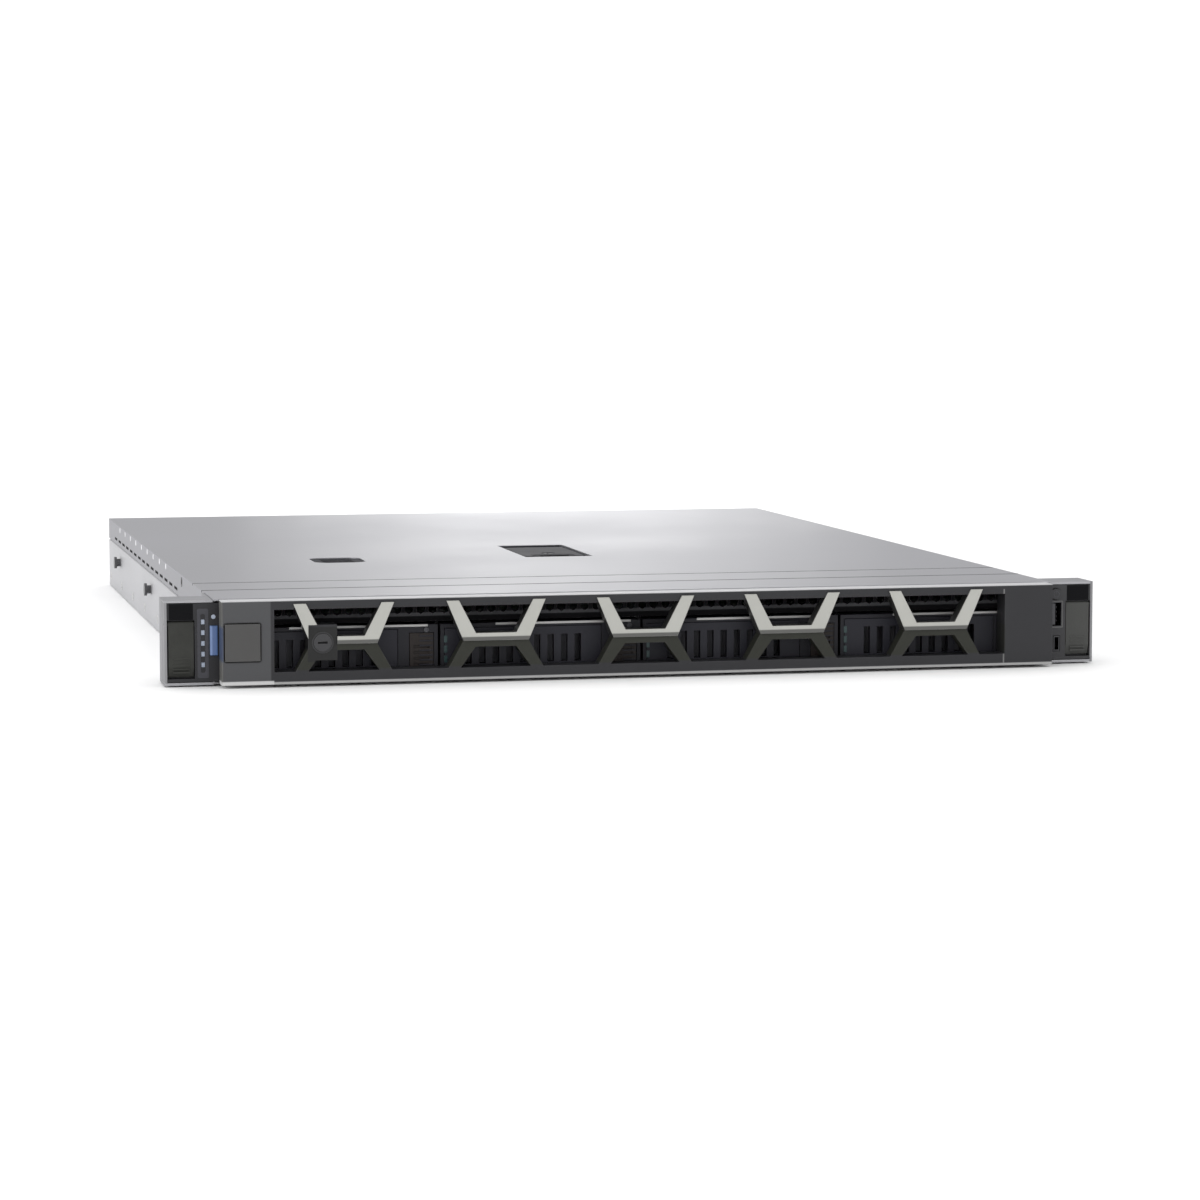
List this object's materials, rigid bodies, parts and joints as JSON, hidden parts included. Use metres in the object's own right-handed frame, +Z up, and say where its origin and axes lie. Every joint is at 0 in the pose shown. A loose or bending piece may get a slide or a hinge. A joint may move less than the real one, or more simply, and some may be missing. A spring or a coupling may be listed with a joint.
{
  "type": "1U rack server",
  "caption": "One-unit rack server: steel case with sliding latched lid, hexagon-strut locking bezel and rack ears with control panels.",
  "frame": {"origin": "middle of the bottom of the overall box", "axes": "+Z up, the front faces -Y, +X to the right seen from the front"},
  "size_m": [0.482, 0.5854, 0.0428],
  "materials": {
    "case_steel": "satin zinc",
    "black_plastic": "matte",
    "bezel_grey": "satin",
    "trim_silver": "satin silver",
    "light_pipe": "clear",
    "blue_light": "lit",
    "screw_steel": "plated",
    "carrier_dark": "matte",
    "drive_metal": "bare",
    "board_green": "board"
  },
  "bodies": {
    "chassis": {"chassis_tray": "case_steel", "front_top_strip": "case_steel", "cross_brace": "case_steel", "rail_studs": "case_steel", "left_ear_bracket": "case_steel", "right_ear_bracket": "case_steel", "left_control_housing": "black_plastic", "status_light_pipe": "light_pipe", "right_control_housing": "black_plastic", "front_usb_port": "screw_steel", "front_service_port": "screw_steel", "drive_cage": "case_steel", "drive_carrier_1": "carrier_dark", "drive_carrier_2": "carrier_dark", "drive_carrier_3": "carrier_dark", "drive_carrier_4": "carrier_dark", "drive_levers": "carrier_dark", "hard_drives": "drive_metal", "drive_backplane": "board_green", "fan_wall": "case_steel", "fan_frames": "black_plastic", "psu_case": "case_steel", "psu_board": "board_green", "psu_fan_frame": "black_plastic", "mains_inlet": "black_plastic", "motherboard": "board_green", "memory_sockets": "black_plastic", "memory_modules": "board_green", "cpu_heatsink": "drive_metal", "rear_panel": "case_steel", "network_ports": "screw_steel", "rear_usb_ports": "screw_steel", "display_serial_ports": "screw_steel", "slot_covers": "case_steel", "expansion_riser": "board_green"},
    "cover": {"top_cover": "case_steel", "cover_grip_pad": "black_plastic", "cover_latch_pan": "black_plastic"},
    "cover_latch": {"cover_latch_lever": "black_plastic"},
    "cover_lock": {"cover_latch_lock": "screw_steel"},
    "bezel": {"bezel_frame": "bezel_grey", "bezel_hex_trim": "trim_silver"},
    "bezel_button": {"bezel_release_button": "bezel_grey"},
    "bezel_lock": {"bezel_key_lock": "screw_steel"},
    "left_latch": {"left_slam_latch": "bezel_grey"},
    "right_latch": {"right_slam_latch": "bezel_grey"},
    "left_screw": {"left_rack_screw": "screw_steel"},
    "right_screw": {"right_rack_screw": "screw_steel"},
    "power": {"power_button": "bezel_grey"},
    "identity": {"system_id_button": "blue_light"},
    "drive_button_body_1": {"drive_button_1": "carrier_dark"},
    "drive_button_body_2": {"drive_button_2": "carrier_dark"},
    "drive_button_body_3": {"drive_button_3": "carrier_dark"},
    "drive_button_body_4": {"drive_button_4": "carrier_dark"},
    "fan_1": {"fan_rotor_1": "black_plastic"},
    "fan_2": {"fan_rotor_2": "black_plastic"},
    "fan_3": {"fan_rotor_3": "black_plastic"},
    "fan_4": {"fan_rotor_4": "black_plastic"},
    "psu_fan": {"psu_fan_rotor": "black_plastic"}
  },
  "joints": [
    {"name": "cover_slide", "type": "slide", "parent": "chassis", "child": "cover", "axis": [0, 1, 0], "range_m": [0, 0.012]},
    {"name": "latch_swing", "type": "hinge", "parent": "cover", "child": "cover_latch", "pos_m": [0.003, 0.00415, 0.0395], "axis": [-1, 0, 0], "range_deg": [0, 60]},
    {"name": "latch_lock_turn", "type": "hinge", "parent": "cover_latch", "child": "cover_lock", "pos_m": [0.003, -0.03785, 0.04], "axis": [0, 0, 1], "range_deg": [0, 90]},
    {"name": "bezel_swing", "type": "hinge", "parent": "chassis", "child": "bezel", "pos_m": [0.2113, -0.28145, 0.021], "axis": [0, 0, 1], "range_deg": [0, 30]},
    {"name": "bezel_button_press", "type": "slide", "parent": "bezel", "child": "bezel_button", "axis": [0, 1, 0], "range_m": [0, 0.0016], "stiffness_N_per_m": 600},
    {"name": "bezel_key_turn", "type": "hinge", "parent": "bezel", "child": "bezel_lock", "pos_m": [-0.1646, -0.29265, 0.0214], "axis": [0, 1, 0], "range_deg": [0, 90]},
    {"name": "left_slam_latch_flip", "type": "hinge", "parent": "chassis", "child": "left_latch", "pos_m": [-0.23275, -0.27695, 0.0306], "axis": [-1, 0, 0], "range_deg": [0, 80]},
    {"name": "left_rack_screw_turn", "type": "hinge", "parent": "chassis", "child": "left_screw", "pos_m": [-0.23255, -0.25685, 0.0214], "axis": [0, 1, 0], "continuous": true},
    {"name": "right_slam_latch_flip", "type": "hinge", "parent": "chassis", "child": "right_latch", "pos_m": [0.23275, -0.27695, 0.0306], "axis": [-1, 0, 0], "range_deg": [0, 80]},
    {"name": "right_rack_screw_turn", "type": "hinge", "parent": "chassis", "child": "right_screw", "pos_m": [0.23255, -0.25685, 0.0214], "axis": [0, 1, 0], "continuous": true},
    {"name": "power_button_press", "type": "slide", "parent": "chassis", "child": "power", "axis": [0, 1, 0], "range_m": [0, 0.0009], "stiffness_N_per_m": 800},
    {"name": "identity_button_press", "type": "slide", "parent": "chassis", "child": "identity", "axis": [0, 1, 0], "range_m": [0, 0.0008], "stiffness_N_per_m": 800},
    {"name": "drive_button_press_1", "type": "slide", "parent": "chassis", "child": "drive_button_body_1", "axis": [0, 1, 0], "range_m": [0, 0.0015], "stiffness_N_per_m": 600},
    {"name": "drive_button_press_2", "type": "slide", "parent": "chassis", "child": "drive_button_body_2", "axis": [0, 1, 0], "range_m": [0, 0.0015], "stiffness_N_per_m": 600},
    {"name": "drive_button_press_3", "type": "slide", "parent": "chassis", "child": "drive_button_body_3", "axis": [0, 1, 0], "range_m": [0, 0.0015], "stiffness_N_per_m": 600},
    {"name": "drive_button_press_4", "type": "slide", "parent": "chassis", "child": "drive_button_body_4", "axis": [0, 1, 0], "range_m": [0, 0.0015], "stiffness_N_per_m": 600},
    {"name": "fan_spin_1", "type": "hinge", "parent": "chassis", "child": "fan_1", "pos_m": [-0.138, -0.09, 0.021], "axis": [0, 1, 0], "continuous": true},
    {"name": "fan_spin_2", "type": "hinge", "parent": "chassis", "child": "fan_2", "pos_m": [-0.046, -0.09, 0.021], "axis": [0, 1, 0], "continuous": true},
    {"name": "fan_spin_3", "type": "hinge", "parent": "chassis", "child": "fan_3", "pos_m": [0.046, -0.09, 0.021], "axis": [0, 1, 0], "continuous": true},
    {"name": "fan_spin_4", "type": "hinge", "parent": "chassis", "child": "fan_4", "pos_m": [0.138, -0.09, 0.021], "axis": [0, 1, 0], "continuous": true},
    {"name": "psu_fan_spin", "type": "hinge", "parent": "chassis", "child": "psu_fan", "pos_m": [-0.1915, 0.275, 0.0208], "axis": [0, 1, 0], "continuous": true}
  ],
  "couplings": [
    {"joint": "latch_swing", "follows": "cover_slide", "rad_per_m": 87.252}
  ]
}
